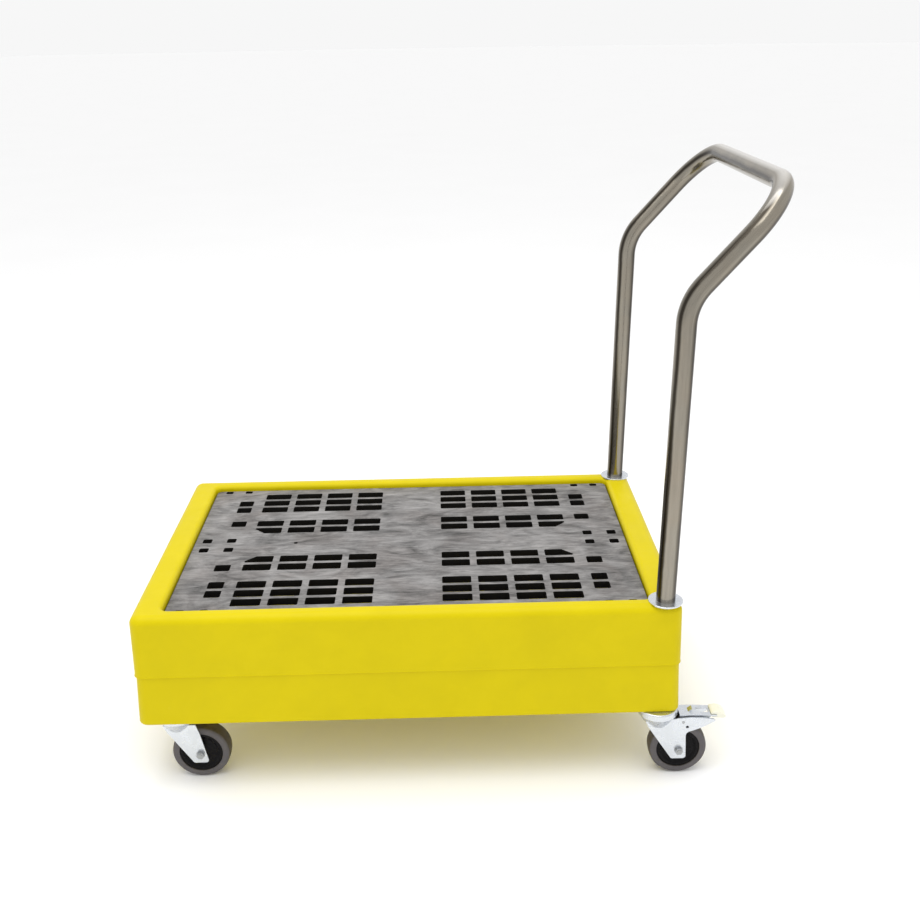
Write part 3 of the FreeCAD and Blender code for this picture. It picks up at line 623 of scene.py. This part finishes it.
class DollySettings(bpy.types.PropertyGroup):
    """Sizes and colours of the dolly's visible pieces."""

    corner_radius: length("Tray corner", "Radius of the tray's upright corners", 0.018)
    rim_roll: length("Rim roll", "Radius of the rim's outer edge", 0.016)
    rim_inner_roll: length("Inner rim roll", "Radius of the rim's inner edge", 0.009)
    seam_step: length("Seam step", "How far the lower half sits inside the upper half", 0.0020)
    seam_bead: length("Seam bead", "Height of the bead where the two halves meet", 0.0016)
    wall_ripple: length("Wall ripple", "Unevenness of the moulded walls", 0.00035)
    tray_colour: colour_of("Tray", "Moulded tray", (0.595, 0.485, 0.0))
    # The deck colour sets the painted mottled grey on the deck's upward faces, standing in for the sky's reflection
    # on dark plastic.
    painted_deck_sheen_colour: colour_of("Deck", "Scuffed top of the deck", (0.168, 0.163, 0.160))
    deck_roll: length("Deck edges", "Roll of the deck's slot edges", 0.0008)
    tube_radius: length("Tube radius", "Outer radius of the handle tube", 0.0175)
    elbow_height: length("Elbow height", "Where the post and arm lines cross", 0.9155)
    elbow_bend: length("Elbow bend", "Bend radius at the top of a post", 0.100)
    corner_bend: length("Corner bend", "Bend radius at an end of the bar", 0.100)
    post_lean: angle_of("Post lean", "Lean of the posts in degrees", 0.8)
    arm_lean: angle_of("Arm lean", "Lean of the arms in degrees", 42.0)
    tube_colour: colour_of("Tube", "Brushed handle tube", (0.275, 0.255, 0.215))
    zinc_colour: colour_of("Zinc", "Zinc on the pressed sheet", (0.66, 0.69, 0.735))
    tyre_colour: colour_of("Tyre", "Side of the tyres", (0.100, 0.092, 0.094))
    sheet_roll: length("Sheet edges", "Roll of the pressed sheet's edges", 0.0006)
    floor_colour: colour_of("Floor", "Studio floor", (0.96, 0.96, 0.96))
    key_power: bpy.props.FloatProperty(name="Key light", description="Power of the overhead light in watts",
                                       default=70.0, min=0.0)


# ---------------------------------------------------------------- operators
class DOLLY_OT_tray(bpy.types.Operator):
    """Moulded spill tray"""

    bl_idname = "dolly.tray"
    bl_label = "Tray"

    def execute(self, context):
        fit(tray_shell(context.scene.dolly), "yellow_tray", "base", "tray")
        return {"FINISHED"}


class DOLLY_OT_deck(bpy.types.Operator):
    """Lift-out slotted deck and the two props under it"""

    bl_idname = "dolly.deck"
    bl_label = "Deck"

    def execute(self, context):
        panel = softened("deck_panel", "deck_grid", context.scene.dolly.deck_roll, 40.0)
        fit(panel, "deck_grey", "deck", "deck_grid")
        coat("deck_pillars", "prop_black")
        return {"FINISHED"}


class DOLLY_OT_handle(bpy.types.Operator):
    """Bent tube handle with its washers and foot plugs"""

    bl_idname = "dolly.handle"
    bl_label = "Handle"

    def execute(self, context):
        settings = context.scene.dolly
        fit(handle_tube(settings), "tube_steel", "base", "push_handle")
        for side in SIDES:
            node = "handle_flange_" + side
            low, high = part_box(node)
            outer, bore, depth = (high.x - low.x) / 2, settings.tube_radius - 0.001, high.z - low.z
            outline = soft_loop([(bore, 0.0), (outer, 0.0), (outer, depth), (bore, depth)],
                                [0.0003, 0.0004, 0.0009, 0.0003], 5)
            centre = ((low.x + high.x) / 2, (low.y + high.y) / 2, low.z)
            fit(spun("handle_washer_" + side, outline, centre, (0, 0, 1)), "zinc_sheet", "base", node)
            coat("tube_plug_" + side, "bolt_steel")
            coat("castor_insert_" + side, "bolt_steel")
        return {"FINISHED"}


class DOLLY_OT_castor_mounts(bpy.types.Operator):
    """Ball-bearing heads and pressed forks of the four castors"""

    bl_idname = "dolly.castor_mounts"
    bl_label = "Castor mounts"

    def execute(self, context):
        settings = context.scene.dolly
        for end, side in CASTORS:
            name = f"{end}_{side}_"
            low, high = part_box(name + "head")
            radius, top = (high.x - low.x) / 2, high.z
            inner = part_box(name + "balls")
            pitch, bore = (inner[1].x - inner[0].x) / 2 - BALL_RADIUS, KING_BORE
            race = inner[1].z
            outline = soft_loop([(bore, 0.0), (radius - 0.002, 0.0), (radius, -0.002), (radius, low.z + 0.001 - top),
                                 (radius - 0.001, low.z - top), (radius - 0.003, low.z - top),
                                 (radius - 0.003, -0.003), (pitch + 0.0055, -0.003),
                                 (pitch + 0.0055, race + 0.0004 - top), (bore, race + 0.0004 - top)],
                                [0.0004, 0.0012, 0.0012, 0.0008, 0.0008, 0.0006, 0.001, 0.001, 0.0006, 0.0004], 5)
            centre = ((low.x + high.x) / 2, (low.y + high.y) / 2, top)
            fit(spun(name + "top_plate", outline, centre, (0, 0, 1)), "zinc_sheet", "base", name + "head")
            coat(name + "balls", "ball_steel")
            coat(name + "king_bolt", "bolt_steel")
            fork = softened(name + "pressed_fork", name + "fork", settings.sheet_roll, 30.0)
            fit(fork, "zinc_sheet", name + "swivel", name + "fork")
        return {"FINISHED"}


class DOLLY_OT_wheels(bpy.types.Operator):
    """Wheel centres, tyres and axle hardware of the four castors"""

    bl_idname = "dolly.wheels"
    bl_label = "Wheels"

    def execute(self, context):
        for end, side in CASTORS:
            name = f"{end}_{side}_"
            low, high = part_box(name + "tyre")
            centre, half, radius = (low + high) / 2, (high.y - low.y) / 2, (high.z - low.z) / 2
            rim = radius - TYRE_DEPTH
            across = np.linspace(-CROWN_SHARE, CROWN_SHARE, 9) * half
            crown = np.stack([radius - CROWN_RISE * (across / (CROWN_SHARE * half)) ** 2, across], axis=-1)
            wall = np.array([(rim, -half), (rim + 0.0012, -half), (rim + 0.0018, -half + 0.0006),
                             (radius - 0.005, -half + 0.0002), (radius - 0.0022, -half + 0.0018),
                             (radius - 0.0009, -half + 0.0042)])
            outline = soft_loop(np.vstack([wall, crown, wall[::-1] * (1, -1)]), 0.0007, 3)
            tyre = spun(name + "rubber_tyre", outline, centre, (0, 1, 0), 112)
            fit(tyre, "tyre_rubber", name + "wheel", name + "tyre")
            face = np.array([(WHEEL_BORE, -half - 0.0015), (0.0105, -half - 0.0015), (0.012, -half + 0.001),
                             (0.0165, -half + 0.0046), (0.031, -half + 0.0049), (0.0350, -half + 0.0012),
                             (0.0378, -half + 0.0009), (0.0386, -half + 0.0018), (rim, -half + 0.0016)])
            outline = soft_loop(np.vstack([face, face[::-1] * (1, -1)]), 0.0009, 4)
            wheel = spun(name + "wheel_disc", outline, centre, (0, 1, 0), 112)
            fit(wheel, "wheel_black", name + "wheel", name + "wheel_centre")
            coat(name + "bearing_sleeve", "bolt_steel")
            for node in ("axle_bolt", "axle_nut"):
                piece = softened(name + "soft_" + node, name + node, 0.0005, 35.0)
                fit(piece, "bolt_steel", name + "swivel", name + node)
        return {"FINISHED"}


class DOLLY_OT_brakes(bpy.types.Operator):
    """Brake pedals, foot pads, shoes and pins of the two rear castors"""

    bl_idname = "dolly.brakes"
    bl_label = "Brakes"

    def execute(self, context):
        settings = context.scene.dolly
        for side in SIDES:
            name = f"rear_{side}_"
            body = name + "pedal"
            fit(softened(name + "pressed_pedal", name + "brake_pedal", settings.sheet_roll, 30.0),
                "zinc_sheet", body, name + "brake_pedal")
            fit(softened(name + "foot_pad", name + "pedal_tip", 0.0016, 30.0, 3), "pedal_cream", body,
                name + "pedal_tip")
            fit(softened(name + "press_block", name + "brake_shoe", 0.0008, 30.0), "shoe_nylon", body,
                name + "brake_shoe")
            coat(name + "pedal_pin", "bolt_steel")
        return {"FINISHED"}


class DOLLY_OT_stage(bpy.types.Operator):
    """Pale floor, soft studio light and the camera"""

    bl_idname = "dolly.stage"
    bl_label = "Stage"

    def execute(self, context):
        settings = context.scene.dolly
        lay_floor(settings)
        light_studio(settings)
        aim_camera()
        return {"FINISHED"}


def lay_floor(settings, reach=70.0):
    """Round floor: rings about the origin, finer towards the middle."""
    radius = np.array([0.0, 0.8, 2.0, 6.0, 20.0, reach])[:, None, None]
    angle = np.linspace(0, 2 * math.pi, 64, endpoint=False)[None, :, None]
    net = np.concatenate([radius * np.cos(angle), radius * np.sin(angle), np.zeros((len(radius), 64, 1))], axis=-1)
    floor = skin("studio_floor", net)
    finish = Finish("studio_floor", Specular_IOR_Level=0.15)
    colour = tuple(settings.floor_colour)
    cloud = finish.noise(1.5, 3.0)
    base = finish.blend(cloud, tone(colour, 0.985), tone(colour, 1.01))
    gloss = finish.band(cloud, 0.3, 0.7, 0.75, 0.85)
    floor.data.materials.append(finish.done(base, gloss, finish.relief(finish.noise(300.0), 0.00005, 0.3)))


LAMP_SPOT = Vector((-0.3, -0.5, 3.4))
LAMP_SIZE = 3.0
LAMP_AIM = Vector((0, 0, 0.4))


def light_studio(settings):
    """Plain white sky, a shade brighter above than at the sides, with one large soft light overhead."""
    world = bpy.data.worlds.new("studio_sky")
    world.use_nodes = True
    tree = world.node_tree
    tree.nodes.clear()
    out = tree.nodes.new("ShaderNodeOutputWorld")
    sky = tree.nodes.new("ShaderNodeBackground")
    direction = tree.nodes.new("ShaderNodeTexCoord")
    split = tree.nodes.new("ShaderNodeSeparateXYZ")
    ramp = tree.nodes.new("ShaderNodeValToRGB")
    tree.links.new(direction.outputs["Generated"], split.inputs[0])
    tree.links.new(split.outputs["Z"], ramp.inputs[0])
    tree.links.new(ramp.outputs["Color"], sky.inputs["Color"])
    tree.links.new(sky.outputs[0], out.inputs["Surface"])
    low, high = ramp.color_ramp.elements
    low.position, low.color = 0.0, (0.93, 0.93, 0.93, 1.0)
    high.position, high.color = 0.7, (1.0, 1.0, 1.0, 1.0)
    sky.inputs["Strength"].default_value = 1.0
    bpy.context.scene.world = world
    lamp = bpy.data.lights.new("overhead_light", "AREA")
    lamp.shape, lamp.size, lamp.energy = "SQUARE", LAMP_SIZE, settings.key_power
    holder = bpy.data.objects.new("overhead_light", lamp)
    holder.location = LAMP_SPOT
    holder.rotation_euler = (LAMP_AIM - LAMP_SPOT).to_track_quat("-Z", "Y").to_euler()
    bpy.context.scene.collection.objects.link(holder)


CAMERA_SPOT = (0.0673, -2.0684, 1.3442)   # from the middle of the tray along X, then world Y and Z
CAMERA_TURN = (1.077, 21.492, -0.89)      # yaw, pitch down and roll in degrees
CAMERA_LENS = 43.37


def aim_camera():
    """Standing view of the left side from a little above the handle, slightly rolled."""
    yaw, pitch, roll = (math.radians(a) for a in CAMERA_TURN)
    ahead = Vector((math.sin(yaw) * math.cos(pitch), math.cos(yaw) * math.cos(pitch), -math.sin(pitch)))
    level = Vector((math.cos(yaw), -math.sin(yaw), 0.0))
    top = level.cross(ahead)
    right = level * math.cos(roll) + top * math.sin(roll)
    up = top * math.cos(roll) - level * math.sin(roll)
    lens = bpy.data.cameras.new("view")
    lens.sensor_width, lens.lens = 36.0, CAMERA_LENS
    camera = bpy.data.objects.new("view", lens)
    turn = Matrix((right, up, -ahead)).transposed().to_4x4()
    spot = Vector(CAMERA_SPOT) + Vector((TRAY_MIDDLE.x, 0.0, 0.0))
    camera.matrix_world = Matrix.Translation(spot) @ turn
    bpy.context.scene.collection.objects.link(camera)
    bpy.context.scene.camera = camera


class DOLLY_PT_panel(bpy.types.Panel):
    """Sidebar panel with the dolly's pieces and settings"""

    bl_label = "Drum Dolly"
    bl_space_type = "VIEW_3D"
    bl_region_type = "UI"
    bl_category = "Dolly"

    def draw(self, context):
        column = self.layout.column(align=True)
        for operator in OPERATORS:
            column.operator(operator.bl_idname)
        for name in DollySettings.__annotations__:
            self.layout.prop(context.scene.dolly, name)


OPERATORS = (DOLLY_OT_tray, DOLLY_OT_deck, DOLLY_OT_handle, DOLLY_OT_castor_mounts, DOLLY_OT_wheels,
             DOLLY_OT_brakes, DOLLY_OT_stage)
CLASSES = (DollySettings, *OPERATORS, DOLLY_PT_panel)


def register():
    """Adds the settings, the operators and the panel."""
    for item in CLASSES:
        bpy.utils.register_class(item)
    bpy.types.Scene.dolly = bpy.props.PointerProperty(type=DollySettings)


def unregister():
    """Takes them away again."""
    del bpy.types.Scene.dolly
    for item in reversed(CLASSES):
        bpy.utils.unregister_class(item)


def main():
    """Builds the dolly and the stage."""
    register()
    bpy.ops.dolly.tray()
    bpy.ops.dolly.deck()
    bpy.ops.dolly.handle()
    bpy.ops.dolly.castor_mounts()
    bpy.ops.dolly.wheels()
    bpy.ops.dolly.brakes()
    bpy.ops.dolly.stage()
    bpy.context.scene.view_settings.view_transform = "Standard"


if __name__ == "__main__":
    main()
